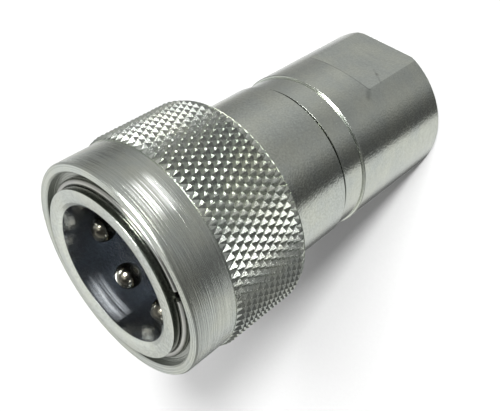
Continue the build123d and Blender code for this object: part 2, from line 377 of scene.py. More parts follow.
@dataclass(frozen=True)
class MilledFlats:
    """Traces that the round cutter leaves on the two flats, and a painted shadow along their arc,
    in millimetres.
    """

    cutter_height: float = -4.1
    cutter_radius: float = 20.0
    flat_reach: float = 14.98
    flat_soft: float = 0.05
    line_width: float = 0.3
    line_shade: float = 0.35
    line_from: float = 13.4
    line_fade: float = 1.0
    trace_width: float = 0.9
    trace_share: float = 0.22
    trace_detail: float = 3.0
    trace_rough: float = 0.7
    trace_soft: float = 0.02

    def shade(self, shader: Shader, place: Signal, radius: Signal) -> Signal:
        """How light a place is: arcs of the cutter, and a painted shadow line along the arc where
        it stopped.

        Args:
            shader: The finish's node tree.
            place: Object coordinates.
            radius: Distance from the axis in metres.

        Returns:
            A factor around 1.
        """
        outward, across, along = (part / MM for part in shader.split(place))
        along = along - self.cutter_height
        reach = (across * across + along * along) ** 0.5
        end = self.cutter_radius
        # Painted shadow: a dark line along the arc where the flat's step meets the round body.
        line = reach.within(end, end, self.line_width)
        inner = self.line_from**2
        line = line * (outward * outward).rise(inner - self.line_fade, inner)
        rings = shader.join(reach / self.trace_width, 0.0, 0.0)
        traces = shader.cloud(rings, 1.0, self.trace_detail, self.trace_rough)
        edge = (self.flat_reach - self.flat_soft) * MM
        milled = radius.rise(edge, self.flat_reach * MM, 1.0, 0.0)
        milled = milled * reach.rise(end, end + self.trace_soft, 1.0, 0.0)
        return 1 + traces.swing(self.trace_share) * milled - line * self.line_shade


@dataclass(frozen=True)
class MetalFinish:
    """Bare, plated or polished metal with turning marks, grain, blotches and zones."""

    name: str
    colour: Colour = (0.58, 0.615, 0.57)
    tint: Colour = (0.59, 0.615, 0.545)
    roughness: float = 0.3
    roughness_spread: float = 0.1
    anisotropy: float = 0.0
    mark_depth: float = 0.0
    mark_width: float = 0.35
    mark_length: float = 22.0
    mark_detail: float = 3.0
    mark_rough: float = 0.65
    mark_share: float = 0.1
    grain_depth: float = 0.004
    grain_size: float = 0.25
    blotch_size: float = 6.0
    blotch_detail: float = 3.0
    blotch_rough: float = 0.6
    blotch_gain: float = 4.0
    blotch_share: float = 0.06
    tint_limits: Span = (0.35, 0.65)
    speckle: float = 0.1
    zones: tuple[Zone, ...] = ()
    # Cutter traces on the flats and their painted shadow line.
    milled: MilledFlats | None = None
    nicks: tuple[Nick, ...] = ()
    nick_depth: float = 0.02

    def make(self) -> bpy.types.Material:
        """Builds the finish.

        Returns:
            The material.
        """
        material, shader = blank_material(self.name)
        place = shader.place()
        x, y, z = shader.split(place)
        radius = (x * x + y * y) ** 0.5
        along = 1 / (self.mark_length * MM)
        across = 1 / (self.mark_width * MM)
        swept = shader.join(x * along, y * along, (z + radius) * across)
        marks = shader.cloud(swept, 1.0, self.mark_detail, self.mark_rough)
        grain = shader.cloud(place, 1 / (self.grain_size * MM))
        blotches = shader.cloud(
            place, 1 / (self.blotch_size * MM), self.blotch_detail, self.blotch_rough
        )
        shade = 1 + blotches.swing(self.blotch_gain * self.blotch_share)
        shade = shade + marks.swing(self.mark_share)
        shade = shade + grain.swing(self.speckle)
        # Cutter traces and the painted shadow line on the flats.
        if self.milled:
            shade = shade * self.milled.shade(shader, place, radius)
        tinted = blotches.rise(*self.tint_limits)
        colour = shader.mix(tinted, opaque(self.colour), opaque(self.tint))
        metallic: Signal | float = 1.0
        height = marks * self.mark_depth + grain * self.grain_depth
        for nick in self.nicks:
            dent = nick.mask((x / MM, y / MM, z / MM))
            shade = shade * (1 - dent * nick.shade)
            height = height - dent * self.nick_depth
        # Zones lay tints, painted shade and painted highlights over the metal.
        for zone in self.zones:
            mask = zone.mask((x, y, z), radius, marks)
            colour = shader.mix(mask, colour, opaque(zone.colour))
            if zone.dullness:
                metallic = metallic - mask * zone.dullness
        shader.surface({
            "Base Color": shader.shaded(colour, shade),
            "Metallic": metallic,
            "Roughness": self.roughness + grain.swing(self.roughness_spread),
            "Anisotropic": self.anisotropy,
            "Normal": shader.relief(height),
        })
        return material


@dataclass(frozen=True)
class SoftFinish:
    """Rubber or plastic: a dull skin with a fine grain."""

    name: str
    colour: Colour
    roughness: float
    roughness_spread: float = 0.15
    grain_depth: float = 0.002
    grain_size: float = 0.15
    patch_scale: float = 300.0
    patch_shares: Span = (0.85, 1.15)

    def make(self) -> bpy.types.Material:
        """Builds the finish.

        Returns:
            The material.
        """
        material, shader = blank_material(self.name)
        place = shader.place()
        grain = shader.cloud(place, 1 / (self.grain_size * MM))
        patches = shader.cloud(place, self.patch_scale)
        dark, pale = (opaque(self.colour, share) for share in self.patch_shares)
        shader.surface({
            "Base Color": shader.mix(patches, dark, pale),
            "Roughness": self.roughness + grain.swing(self.roughness_spread),
            "Normal": shader.relief(grain * self.grain_depth),
        })
        return material


BORE_SHADE = Zone((0.555, 0.588, 0.63), radii=(0.0, 12.1), heights=(30.0, 66.7), soft=0.08)
# Worn, duller patch on the bore wall near the mouth; its lighter colour is a painted highlight.
BORE_WEAR_AND_PAINTED_HIGHLIGHT = Zone(
    (0.66, 0.69, 0.7), radii=(11.7, 11.86), heights=(64.7, 65.1), directions=(-164.0, -156.0),
    soft=2.0, soft_turn=24.0, streaks=(0.3, 0.75), dullness=0.24,
)
# Painted shade: darker colour on the nose's outside round the ring groove, between the stop ring
# and the nose face.
NOSE_PAINTED_SHADE = Zone((0.17, 0.18, 0.165), radii=(13.9, 14.7), heights=(60.0, 66.95), share=0.75)
# Painted shade: darker colour on the inside of the sleeve's mouth, in the gap around the nose.
MOUTH_PAINTED_SHADE = Zone((0.22, 0.23, 0.21), radii=(14.0, 16.75), heights=(50.0, 65.95), share=0.7)
# Painted highlight: bright streaks along the turning marks on one side of the sleeve's smooth ring,
# also made a little duller.
RING_PAINTED_HIGHLIGHT_STREAKS = Zone(
    (0.95, 0.97, 0.94), radii=(18.2, 18.6), heights=(61.2, 64.1), directions=(13.0, 22.0),
    soft=1.0, soft_turn=9.0, streaks=(0.43, 0.56), dullness=0.14,
)
FLAT_NICKS = (
    Nick((13.3, -7.04, 15.35), (12.9, -7.75, 16.3), width=0.85, shade=0.24),
    Nick((13.5, -3.4, 8.9), (13.5, -6.9, 11.5), width=0.34, shade=0.13),
    Nick((13.5, -4.55, 9.66), (13.5, -4.8, 9.84), width=0.5, shade=0.24),
)
ZINC_BODY = MetalFinish(
    "zinc_body", roughness=0.17, mark_depth=0.012, mark_width=0.5, grain_depth=0.026,
    grain_size=0.34, anisotropy=0.2, speckle=0.45, zones=(BORE_SHADE, BORE_WEAR_AND_PAINTED_HIGHLIGHT, NOSE_PAINTED_SHADE),
)
ZINC_REAR = MetalFinish(
    "zinc_rear", roughness=0.17, mark_depth=0.01, mark_width=0.6, grain_depth=0.026,
    grain_size=0.34, anisotropy=0.2, speckle=0.3, blotch_share=0.09, milled=MilledFlats(),
    nicks=FLAT_NICKS,
)
ZINC_SLEEVE = MetalFinish(
    "zinc_sleeve", roughness=0.23, mark_depth=0.08, mark_width=0.22, mark_length=70.0,
    grain_depth=0.012, anisotropy=0.3, mark_share=0.45, zones=(MOUTH_PAINTED_SHADE, RING_PAINTED_HIGHLIGHT_STREAKS),
)
ZINC_KNURL = MetalFinish(
    "zinc_knurl", roughness=0.22, grain_depth=0.03, grain_size=0.3, blotch_share=0.1
)
RING_WIRE = MetalFinish(
    "ring_wire", colour=(0.42, 0.43, 0.41), tint=(0.46, 0.46, 0.42), roughness=0.24
)
COIL_WIRE = MetalFinish("coil_wire", colour=(0.33, 0.33, 0.34), roughness=0.35)
POLISHED = MetalFinish(
    "polished_ball", colour=(0.16, 0.15, 0.12), tint=(0.13, 0.125, 0.1), roughness=0.14,
    roughness_spread=0.06, grain_depth=0.001, blotch_size=2.0, blotch_share=0.12,
)
TURNED = MetalFinish("turned_steel", colour=(0.50, 0.50, 0.50), mark_depth=0.008, anisotropy=0.4)
RUBBER = SoftFinish("seal_rubber", (0.014, 0.014, 0.015), 0.5)
PLASTIC = SoftFinish("backup_plastic", (0.62, 0.60, 0.55), 0.42)


def everything(mesh: Shape) -> list[object]:
    """All corners, edges and faces of a mesh."""
    return mesh.verts[:] + mesh.edges[:] + mesh.faces[:]


def lay_out(mesh: Shape, profile: Profile) -> list[bmesh.types.BMVert]:
    """Puts points of radius and height, in millimetres, beside the axis."""
    return [mesh.verts.new((radius * MM, 0.0, height * MM)) for radius, height in profile]


def spin(
    mesh: Shape, turn: float, steps: int, rise: float = 0.0, merge: bool = False,
    copies: bool = False,
) -> None:
    """Spins all of a mesh about the axis.

    Args:
        mesh: The shape, which grows.
        turn: Angle that it turns through in radians.
        steps: Steps of the turn.
        rise: Height in millimetres that it gains in all.
        merge: Whether its end meets its start.
        copies: Whether it is repeated instead of drawn out.
    """
    bmesh.ops.spin(
        mesh, geom=everything(mesh), cent=(0, 0, 0), axis=(0, 0, 1),
        dvec=(0, 0, rise * MM / steps), angle=turn, steps=steps, use_merge=merge,
        use_duplicate=copies,
    )


def close_up(mesh: Shape) -> None:
    """Merges corners that meet and turns all faces outwards."""
    bmesh.ops.remove_doubles(mesh, verts=mesh.verts, dist=MERGE_METRES)
    bmesh.ops.recalc_face_normals(mesh, faces=mesh.faces)


def axis_distance(corner: bmesh.types.BMVert) -> float:
    """A corner's distance from the axis in metres."""
    return math.hypot(corner.co.x, corner.co.y)


def set_axis_distance(corner: bmesh.types.BMVert, wanted: float) -> None:
    """Moves a corner straight out or in.

    Args:
        corner: The corner.
        wanted: Its new distance from the axis in metres.
    """
    share = wanted / axis_distance(corner)
    corner.co.x *= share
    corner.co.y *= share


def set_down(name: str, mesh: Shape) -> bpy.types.Object:
    """Makes an object of a shape and links it to the scene.

    Args:
        name: Name of the object and of its mesh.
        mesh: The shape, which is used up.

    Returns:
        The object.
    """
    data = bpy.data.meshes.new(name)
    mesh.to_mesh(data)
    mesh.free()
    made = bpy.data.objects.new(name, data)
    bpy.context.scene.collection.objects.link(made)
    return made


@dataclass
class Workshop:
    """Makes meshes with the turning, cutting and winding that the pieces share."""

    steps: int = 288
    edge_round: float = 0.06
    round_segments: int = 2
    cut_merge_gap: float = 2e-7
    sharp_from: float = 12.0
    materials: dict[str, bpy.types.Material] = field(default_factory=dict)

    def material(self, finish: MetalFinish | SoftFinish) -> bpy.types.Material:
        """The finish's material, made once."""
        if finish.name not in self.materials:
            self.materials[finish.name] = finish.make()
        return self.materials[finish.name]

    def turn(
        self, profile: Profile, closed: bool = True, rounding: float | None = None,
        steps: int | None = None,
    ) -> Shape:
        """Turns an outline about the axis and rounds its sharp edges.

        Args:
            profile: Points of radius and height in millimetres.
            closed: Whether the outline's ends meet, or lie on the axis instead.
            rounding: Width of the rounded edges in millimetres.
            steps: Steps of the turn.

        Returns:
            The turned mesh.
        """
        mesh = bmesh.new()
        points = lay_out(mesh, profile)
        for pair in zip(points, points[1:]):
            mesh.edges.new(pair)
        if closed:
            mesh.edges.new((points[-1], points[0]))
        spin(mesh, FULL_TURN, steps or self.steps, merge=True)
        close_up(mesh)
        width = self.edge_round if rounding is None else rounding
        if width > 0:
            self.round_edges(mesh, width)
        return mesh

    @staticmethod
    def sweep(section: Profile, turn: float, steps: int, rise: float = 0.0) -> Shape:
        """Sweeps a flat section about the axis without letting its ends meet.

        Args:
            section: Corners of radius and height in millimetres.
            turn: Angle that it turns through in radians.
            steps: Steps of the sweep.
            rise: Height in millimetres that it gains.

        Returns:
            The swept mesh.
        """
        mesh = bmesh.new()
        mesh.faces.new(lay_out(mesh, section))
        spin(mesh, turn, steps, rise)
        close_up(mesh)
        return mesh

    def round_edges(
        self, mesh: Shape, width: float, from_angle: float = 0.44,
        among: list[bmesh.types.BMEdge] | None = None,
    ) -> None:
        """Rounds edges sharper than from_angle radians to a width in millimetres.

        Args:
            mesh: The shape.
            width: Width of the rounding.
            from_angle: Smallest angle between an edge's faces.
            among: The edges to choose from, or all of them.
        """
        sharp = [
            edge for edge in (mesh.edges if among is None else among)
            if len(edge.link_faces) == 2 and edge.calc_face_angle(0.0) > from_angle
        ]
        bmesh.ops.bevel(
            mesh, geom=sharp, offset=width * MM, offset_type="OFFSET", affect="EDGES",
            segments=self.round_segments, profile=0.5, material=-1, clamp_overlap=True,
        )

    def ring(
        self, ring_radius: float, cord_radius: float, height: float, sides: int = 28,
        start: float = 0.0, turn: float = FULL_TURN, rise: float = 0.0, steps: int | None = None,
    ) -> Shape:
        """Sweeps a round section about the axis: a whole ring, an open ring or a coil.

        Args:
            ring_radius: Radius of the section's path in millimetres.
            cord_radius: Radius of the section in millimetres.
            height: Height of the path's start in millimetres.
            sides: Sides of the section.
            start: Direction of the path's start in radians.
            turn: Angle that the path turns through in radians.
            rise: Height that the path gains in millimetres.
            steps: Steps of the sweep.

        Returns:
            The swept mesh.
        """
        whole = turn == FULL_TURN and rise == 0.0
        mesh = bmesh.new()
        upright = (
            Matrix.Rotation(start, 4, "Z")
            @ Matrix.Translation((ring_radius * MM, 0, height * MM))
            @ Matrix.Rotation(QUARTER_TURN, 4, "X")
        )
        bmesh.ops.create_circle(
            mesh, cap_ends=not whole, segments=sides, radius=cord_radius * MM, matrix=upright
        )
        spin(mesh, turn, steps or self.steps, rise, merge=whole)
        close_up(mesh)
        return mesh

    def carve(self, mesh: Shape, cutters: list[Shape]) -> Shape:
        """Cuts closed shapes out of a closed shape.

        Args:
            mesh: The shape that is cut.
            cutters: The shapes that are taken away.

        Returns:
            The shape that is left.
        """
        tool = bmesh.new()
        for cutter in cutters:
            loose = bpy.data.meshes.new("cutter")
            cutter.to_mesh(loose)
            cutter.free()
            tool.from_mesh(loose)
            bpy.data.meshes.remove(loose)
        blank = set_down("blank", mesh)
        knife = set_down("knife", tool)
        cut = blank.modifiers.new("cut", "BOOLEAN")
        cut.operation = "DIFFERENCE"
        cut.solver = "EXACT"
        cut.object = knife
        bpy.context.view_layer.update()
        depsgraph = bpy.context.evaluated_depsgraph_get()
        left = bpy.data.meshes.new_from_object(blank.evaluated_get(depsgraph))
        result = bmesh.new()
        result.from_mesh(left)
        for spent in (blank.data, knife.data, left):
            bpy.data.meshes.remove(spent)
        bmesh.ops.remove_doubles(result, verts=result.verts, dist=self.cut_merge_gap)
        return result

    def finish(
        self, name: str, mesh: Shape, finish: MetalFinish | SoftFinish, slot: Slot, body: str,
        nodes: tuple[str, ...], sharp_from: float | None = None,
    ) -> bpy.types.Object:
        """Makes a piece of a mesh, dresses it and puts it on its body.

        Args:
            name: Name of the piece.
            mesh: Its shape in the row frame.
            finish: What it looks like.
            slot: The record's slot for that finish; not used.
            body: The body that it rides on.
            nodes: The CAD nodes that it stands for.
            sharp_from: Angle in degrees from which an edge is shaded sharp.

        Returns:
            The piece.
        """
        piece = set_down(name, mesh)
        data = piece.data
        data.shade_smooth()
        data.set_sharp_from_angle(angle=math.radians(sharp_from or self.sharp_from))
        data.materials.append(self.material(finish))
        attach(piece, body)
        if nodes:
            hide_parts(*nodes)
        LOG.info("%s: %d faces on %s", name, len(data.polygons), body)
        return piece


@dataclass
class AdaptorBody:
    """Rear half: cylinder with two wrench flats, marking band, spigot and threaded port."""

    rear_radius: float = 15.05
    rear_length: float = 23.65
    rear_chamfer: float = 0.5
    band_radius: float = 14.67
    joint_height: float = 29.1
    seam_radius: float = 13.5
    seam_width: float = 0.5
    seam_slope: float = 0.12
    shoulder: float = 0.14
    flat_rounding: float = 0.1
    flat_distance: float = 13.5
    cutter_radius: float = 20.0
    cutter_height: float = -4.1
    cutter_sides: int = 240
    port_radius: float = 10.48
    port_depth: float = 15.0
    port_chamfer: float = 0.7
    flow_radius: float = 8.7
    guide_height: float = 20.5
    chamber_radius: float = 10.6
    spigot_radius: float = 12.95
    tip_height: float = 36.1
    shelf_height: float = 34.5
    shelf_radius: float = 11.49
    tip_chamfer: float = 0.3
    thread_pitch: float = 1.814
    thread_depth: float = 1.0
    thread_start: float = 0.9
    thread_end: float = 13.4
    thread_crest: float = 0.22
    thread_foot: float = 1.45
    thread_sink: float = 0.05
    thread_lead: float = 0.12
    thread_fade: float = 0.5
    thread_least: float = 0.06
    thread_steps: int = 96

    def outline(self) -> Profile:
        """Lists the turned outline, inside first.

        Returns:
            Points of radius and height in millimetres.
        """
        return [
            (self.port_radius, self.port_depth),
            (self.flow_radius, self.port_depth),
            (self.flow_radius, self.guide_height),
            (self.chamber_radius, self.guide_height),
            (self.chamber_radius, self.tip_height),
            (self.shelf_radius - self.tip_chamfer, self.tip_height),
            (self.shelf_radius, self.tip_height - self.tip_chamfer),
            (self.shelf_radius, self.shelf_height),
            (self.spigot_radius, self.shelf_height),
            (self.spigot_radius, self.joint_height),
            (self.seam_radius, self.joint_height),
            (self.seam_radius, self.joint_height - self.seam_width),
            (self.band_radius, self.joint_height - self.seam_width - self.seam_slope),
            (self.band_radius, self.rear_length),
            (self.rear_radius - self.shoulder, self.rear_length),
            (self.rear_radius, self.rear_length - self.shoulder),
            (self.rear_radius, self.rear_chamfer),
            (self.rear_radius - self.rear_chamfer, 0.0),
            (self.port_radius + self.port_chamfer, 0.0),
            (self.port_radius, self.port_chamfer),
        ]

    def flat_cutter(self, side: int) -> Shape:
        """Makes the round cutter that mills one flat.

        Args:
            side: 1 for the flat that faces +X and -1 for the other.

        Returns:
            The cutter.
        """
        depth = self.rear_radius
        cutter = bmesh.new()
        placed = Matrix.Translation(
            (side * (self.flat_distance + depth / 2) * MM, 0, self.cutter_height * MM)
        ) @ Matrix.Rotation(QUARTER_TURN, 4, "Y")
        bmesh.ops.create_cone(
            cutter, cap_ends=True, segments=self.cutter_sides, radius1=self.cutter_radius * MM,
            radius2=self.cutter_radius * MM, depth=depth * MM, matrix=placed,
        )
        return cutter

    def soften_flats(self, shop: Workshop, body: Shape) -> None:
        """Breaks the milled flats' edges, but not where they run off the rear face.

        Args:
            shop: Where the edges are rounded.
            body: The milled body.
        """
        lowest = self.rear_chamfer * 2 * MM
        near = (self.flat_distance - self.shoulder) * MM
        edges = [
            edge for edge in body.edges
            if all(abs(corner.co.x) > near and corner.co.z > lowest for corner in edge.verts)
        ]
        shop.round_edges(body, self.flat_rounding, among=edges)

    def thread(self, shop: Workshop) -> Shape:
        """Winds the port's thread, a ridge along the wall that fades at both ends.

        Args:
            shop: Where the ridge is swept.

        Returns:
            The ridge.
        """
        low, high = self.thread_start, self.thread_end
        wall = self.port_radius + self.thread_sink
        inner = self.port_radius - self.thread_depth
        section = [
            (wall, low - self.thread_foot / 2), (inner, low - self.thread_crest / 2),
            (inner, low + self.thread_crest / 2), (wall, low + self.thread_foot / 2),
        ]
        turns = (high - low) / self.thread_pitch
        steps = round(turns * self.thread_steps)
        ridge = shop.sweep(section, turns * FULL_TURN, steps, high - low)
        fade_length = self.thread_fade * self.thread_pitch
        for corner in ridge.verts:
            if axis_distance(corner) < self.port_radius * MM:
                height = corner.co.z / MM
                ends = min(height - low, high - height) + self.thread_lead
                share = min(1.0, max(self.thread_least, ends / fade_length))
                set_axis_distance(corner, (wall - (wall - inner) * share) * MM)
        return ridge

    def build(self, shop: Workshop) -> None:
        """Builds and dresses the rear half and its thread.

        Args:
            shop: Where the pieces are made.
        """
        cutters = [self.flat_cutter(side) for side in (1, -1)]
        body = shop.carve(shop.turn(self.outline()), cutters)
        self.soften_flats(shop, body)
        shop.finish(
            "adaptor_turned", body, ZINC_REAR, Slot.ZINC, Body.COUPLER.value, ("adaptor_body",)
        )
        shop.finish("port_thread", self.thread(shop), ZINC_REAR, Slot.ZINC, Body.COUPLER.value, ())


@dataclass
class SocketBody:
    """Front half: neck, spring collar, nose with ring groove and ball holes, bore and seat."""

    joint_height: float = 29.1
    joint_radius: float = 13.0
    neck_radius: float = 15.0
    collar_bottom: float = 44.1
    collar_top: float = 46.1
    collar_radius: float = 16.1
    collar_chamfer: float = 0.25
    nose_radius: float = 14.54
    nose_height: float = 67.15
    groove_radius: float = 14.25
    groove_height: float = 65.3
    groove_width: float = 1.36
    mouth_radius: float = 12.45
    mouth_depth: float = 0.35
    bore_radius: float = 11.8
    land_bottom: float = 62.4
    relieved_radius: float = 12.0
    relief_slope: float = 6.0
    seal_bottom: float = 42.4
    seal_top: float = 45.9
    seal_radius: float = 13.9
    bore_bottom: float = 41.3
    throat_top: float = 40.0
    throat_radius: float = 8.2
    seat_top: float = 39.1
    seat_bottom: float = 37.1
    seat_radius: float = 10.2
    chamber_radius: float = 10.8
    shoulder_height: float = 36.3
    ball_count: int = 8
    first_direction: float = 17.0
    ball_height: float = 59.6
    hole_inner_radius: float = 2.027
    hole_outer_radius: float = 2.45
    hole_inner: float = 9.89
    hole_taper_end: float = 12.37
    hole_outer: float = 16.9
    hole_steps: int = 64

    def outline(self) -> Profile:
        """Lists the turned outline, outside first.

        Returns:
            Points of radius and height in millimetres.
        """
        groove_bottom = self.groove_height - self.groove_width / 2
        groove_top = self.groove_height + self.groove_width / 2
        return [
            (self.joint_radius, self.joint_height),
            (self.neck_radius, self.joint_height),
            (self.neck_radius, self.collar_bottom),
            (self.collar_radius - self.collar_chamfer, self.collar_bottom),
            (self.collar_radius, self.collar_bottom + self.collar_chamfer),
            (self.collar_radius, self.collar_top - self.collar_chamfer),
            (self.collar_radius - self.collar_chamfer, self.collar_top),
            (self.nose_radius, self.collar_top),
            (self.nose_radius, groove_bottom),
            (self.groove_radius, groove_bottom),
            (self.groove_radius, groove_top),
            (self.nose_radius, groove_top),
            (self.nose_radius, self.nose_height),
            (self.mouth_radius, self.nose_height),
            (self.bore_radius, self.nose_height - self.mouth_depth),
            (self.bore_radius, self.land_bottom),
            (self.relieved_radius, self.land_bottom - self.relief_slope),
            (self.relieved_radius, self.seal_top),
            (self.seal_radius, self.seal_top),
            (self.seal_radius, self.seal_bottom),
            (self.relieved_radius, self.seal_bottom),
            (self.relieved_radius, self.bore_bottom),
            (self.throat_radius, self.throat_top),
            (self.throat_radius, self.seat_top),
            (self.seat_radius, self.seat_bottom),
            (self.chamber_radius, self.seat_bottom),
            (self.chamber_radius, self.shoulder_height),
            (self.joint_radius, self.shoulder_height),
        ]

    def directions(self) -> list[float]:
        """Direction of each ball about the axis, in radians."""
        step = FULL_TURN / self.ball_count
        return [math.radians(self.first_direction) + i * step for i in range(self.ball_count)]

    def hole_cutter(self, shop: Workshop, direction: float) -> Shape:
        """Makes the cutter of one ball hole, narrow towards the bore.

        Args:
            shop: Where the cutter is turned.
            direction: The hole's direction about the axis in radians.

        Returns:
            The cutter.
        """
        section = [
            (0.0, self.hole_inner), (self.hole_inner_radius, self.hole_inner),
            (self.hole_outer_radius, self.hole_taper_end),
            (self.hole_outer_radius, self.hole_outer), (0.0, self.hole_outer),
        ]
        cutter = shop.turn(section, closed=False, rounding=0.0, steps=self.hole_steps)
        placed = (
            Matrix.Translation((0, 0, self.ball_height * MM))
            @ Matrix.Rotation(direction, 4, "Z")
            @ Matrix.Rotation(QUARTER_TURN, 4, "Y")
        )
        bmesh.ops.transform(cutter, matrix=placed, verts=cutter.verts)
        return cutter

    def build(self, shop: Workshop) -> None:
        """Builds and dresses the front half.

        Args:
            shop: Where the piece is made.
        """
        cutters = [self.hole_cutter(shop, direction) for direction in self.directions()]
        body = shop.carve(shop.turn(self.outline()), cutters)
        shop.finish(
            "socket_turned", body, ZINC_BODY, Slot.ZINC, Body.COUPLER.value, ("socket_body",)
        )


@dataclass
class LockingSleeve:
    """Pull-back sleeve: a turned ring with a field of knurl points round it."""

    front_height: float = 66.3
    rear_height: float = 43.5
    front_radius: float = 18.35
    front_chamfer: float = 0.2
    front_chamfer_length: float = 0.35
    rim_radius: float = 18.55
    rim_length: float = 0.2
    knurl_top: float = 58.55
    crest_radius: float = 19.0
    root_radius: float = 18.45
    under_radius: float = 17.95
    columns: int = 83
    rows: int = 12
    tip_share: float = 0.1
    end_chamfer: float = 1.0
    end_slope: float = 0.55
    even_end: float = 0.2
    unevenness: float = 0.022
    unevenness_size: float = 0.9
    merge_gap: float = 0.002
    sharp_from: float = 5.0
    inside: tuple[Span, ...] = (
        (17.0, 66.3), (16.7, 66.0), (16.7, 64.878), (15.4, 64.878), (15.4, 64.516),
        (16.7, 63.216), (16.7, 61.408), (14.62, 58.576), (14.62, 56.676), (16.2, 56.676),
        (16.2, 43.8), (16.5, 43.5),
    )

    def outline(self) -> Profile:
        """Lists the turned outline, with a recess where the knurl sits.

        Returns:
            Points of radius and height in millimetres.
        """
        return list(self.inside) + [
            (self.rim_radius - self.rim_length, self.rear_height),
            (self.rim_radius, self.rear_height + self.rim_length),
            (self.under_radius, self.rear_height + self.rim_length),
            (self.under_radius, self.knurl_top),
            (self.front_radius, self.knurl_top),
            (self.front_radius, self.front_height - self.front_chamfer_length),
            (self.front_radius - self.front_chamfer, self.front_height),
        ]

    def half_step(self) -> float:
        """Half of a knurl point's length along the axis."""
        return (self.knurl_top - self.rear_height - self.rim_length) / self.rows

    def half_turn(self) -> float:
        """Half of a knurl point's width about the axis, in radians."""
        return math.pi / self.columns

    def point(self) -> Shape:
        """Makes one four-sided knurl point, worn at its tip, standing on a diamond.

        Returns:
            The point, open at its foot.
        """
        mesh = bmesh.new()
        bmesh.ops.create_cone(
            mesh, cap_ends=True, segments=4, radius1=1.0, radius2=self.tip_share, depth=1.0
        )
        foot = min(mesh.faces, key=lambda face: face.calc_center_median().z)
        bmesh.ops.delete(mesh, geom=[foot], context="FACES_ONLY")
        depth = self.crest_radius - self.root_radius
        for corner in mesh.verts:
            radius = (self.root_radius + (corner.co.z + 0.5) * depth) * MM
            angle = corner.co.x * self.half_turn()
            height = (self.rear_height + self.rim_length + corner.co.y * self.half_step()) * MM
            corner.co = (radius * math.cos(angle), radius * math.sin(angle), height)
        return mesh

    def knurl(self) -> Shape:
        """Makes the ring of knurl points, closed by a plain wall inside.

        Returns:
            The knurl's mesh.
        """
        mesh = self.point()
        low = (self.rear_height + self.rim_length) * MM
        high = self.knurl_top * MM
        first = everything(mesh)
        for row in range(1, self.rows + 1):
            copied = bmesh.ops.duplicate(mesh, geom=first)["geom"]
            corners = [item for item in copied if isinstance(item, bmesh.types.BMVert)]
            offset = Matrix.Rotation((row % 2) * self.half_turn(), 3, "Z")
            bmesh.ops.rotate(mesh, cent=(0, 0, 0), verts=corners, matrix=offset)
            bmesh.ops.translate(mesh, vec=(0, 0, row * self.half_step() * MM), verts=corners)
        last = self.columns - 1
        spin(mesh, FULL_TURN * last / self.columns, last, copies=True)
        bmesh.ops.remove_doubles(mesh, verts=mesh.verts, dist=self.merge_gap * MM)
        self._slice(mesh, low, drop_below=True)
        self._slice(mesh, high, drop_above=True)
        self._soften_ends(mesh, low, high)
        self._close(mesh)
        return mesh

    @staticmethod
    def _slice(
        mesh: Shape, height: float, drop_below: bool = False, drop_above: bool = False
    ) -> None:
        """Cuts all faces at a height in metres, and drops what lies past it."""
        bmesh.ops.bisect_plane(
            mesh, geom=everything(mesh), dist=MERGE_METRES, plane_co=(0, 0, height),
            plane_no=(0, 0, 1), clear_inner=drop_below, clear_outer=drop_above,
        )

    def _soften_ends(self, mesh: Shape, low: float, high: float) -> None:
        """Chamfers the outermost points and makes the others a little uneven.

        Args:
            mesh: The field of points.
            low: Height of its lower end in metres.
            high: Height of its upper end in metres.
        """
        for height in (low + self.end_chamfer * MM, high - self.end_chamfer * MM):
            self._slice(mesh, height)
        for corner in mesh.verts:
            away = min(corner.co.z - low, high - corner.co.z)
            slope = self.root_radius * MM + max(0.0, away) * self.end_slope
            wanted = min(axis_distance(corner), slope)
            if away > self.even_end * MM:
                wave = noise.noise(corner.co / (self.unevenness_size * MM))
                wanted = min(wanted + wave * self.unevenness * MM, self.crest_radius * MM)
            set_axis_distance(corner, wanted)

    def _close(self, mesh: Shape) -> None:
        """Turns both rims inwards and joins them by a wall.

        Args:
            mesh: The field of points, open at both ends.
        """
        rims = [edge for edge in mesh.edges if len(edge.link_faces) == 1]
        grown = bmesh.ops.extrude_edge_only(mesh, edges=rims)["geom"]
        for item in grown:
            if isinstance(item, bmesh.types.BMVert):
                set_axis_distance(item, self.under_radius * MM)
        edges = [item for item in grown if isinstance(item, bmesh.types.BMEdge)]
        bmesh.ops.bridge_loops(mesh, edges=[edge for edge in edges if edge.is_boundary])
        bmesh.ops.recalc_face_normals(mesh, faces=mesh.faces)

    def build(self, shop: Workshop) -> None:
        """Builds and dresses the sleeve and its knurl.

        Args:
            shop: Where the pieces are made.
        """
        shop.finish(
            "sleeve_turned", shop.turn(self.outline()), ZINC_SLEEVE, Slot.ZINC,
            Body.SLEEVE.value, ("locking_sleeve",),
        )
        shop.finish(
            "sleeve_knurl", self.knurl(), ZINC_KNURL, Slot.ZINC, Body.SLEEVE.value, (),
            self.sharp_from,
        )


@dataclass
class StopRing:
    """Open wire ring in the nose's groove."""

    ring_radius: float = 14.92
    wire_radius: float = 0.62
    height: float = 65.3
    gap_direction: float = -65.0
    gap_angle: float = 6.0
    end_rounding: float = 0.08
    end_from: float = 1.0

    def build(self, shop: Workshop) -> None:
        """Builds and dresses the ring.

        Args:
            shop: Where the piece is made.
        """
        ring = shop.ring(
            self.ring_radius, self.wire_radius, self.height,
            start=math.radians(self.gap_direction + self.gap_angle / 2),
            turn=math.radians(360 - self.gap_angle),
        )
        shop.round_edges(ring, self.end_rounding, from_angle=self.end_from)
        shop.finish(
            "stop_ring_wire", ring, RING_WIRE, Slot.WIRE, Body.STOP_RING.value,
            ("sleeve_stop_ring",), ROUND_SHARP_DEGREES,
        )


